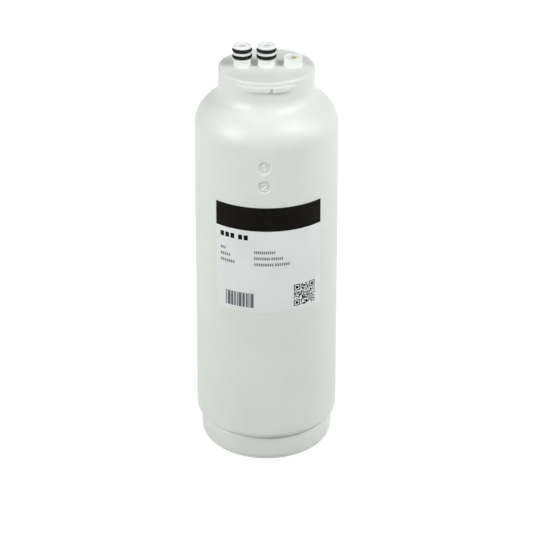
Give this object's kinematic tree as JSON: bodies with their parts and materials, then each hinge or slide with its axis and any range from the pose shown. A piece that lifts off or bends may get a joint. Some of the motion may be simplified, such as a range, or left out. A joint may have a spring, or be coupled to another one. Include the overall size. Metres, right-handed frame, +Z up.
{
  "type": "hollow fiber filter module",
  "caption": "Upright cylindrical hollow fiber filter module with a domed shoulder, a twist-lock neck, O-ring port spigots on its head, a printed label and a welded base cap.",
  "frame": {"origin": "middle of the base, on the surface that the module stands on", "axes": "+Z up the axis to the ports, -Y towards the middle of the label, ports in a line along X with the inlet at -X"},
  "size_m": [0.0858, 0.0858, 0.2559],
  "materials": {
    "housing_polypropylene": "moulded natural polypropylene, satin gloss",
    "seal_rubber": "moulded black rubber, slightly shiny",
    "label_film": "printed white film, satin",
    "tag_resin": "amber resin over a small tag",
    "inner_polypropylene": "moulded, plain",
    "potting_resin": "cast resin",
    "fibre_membrane": "bundled fine white fibres"
  },
  "bodies": {
    "root": {"housing": "housing_polypropylene", "base_cap": "housing_polypropylene", "inlet_o_ring_upper": "seal_rubber", "inlet_o_ring_lower": "seal_rubber", "outlet_o_ring_upper": "seal_rubber", "outlet_o_ring_lower": "seal_rubber", "label": "label_film", "id_tag": "tag_resin", "bottom_spacer": "inner_polypropylene", "fibre_case": "inner_polypropylene", "potting_top": "potting_resin", "potting_bottom": "potting_resin", "fibre_tow_1": "fibre_membrane", "fibre_tow_2": "fibre_membrane", "fibre_tow_3": "fibre_membrane", "fibre_tow_4": "fibre_membrane", "fibre_tow_5": "fibre_membrane", "fibre_tow_6": "fibre_membrane", "fibre_tow_7": "fibre_membrane", "collector_cap": "inner_polypropylene", "collector_o_ring": "seal_rubber"}
  },
  "joints": []
}
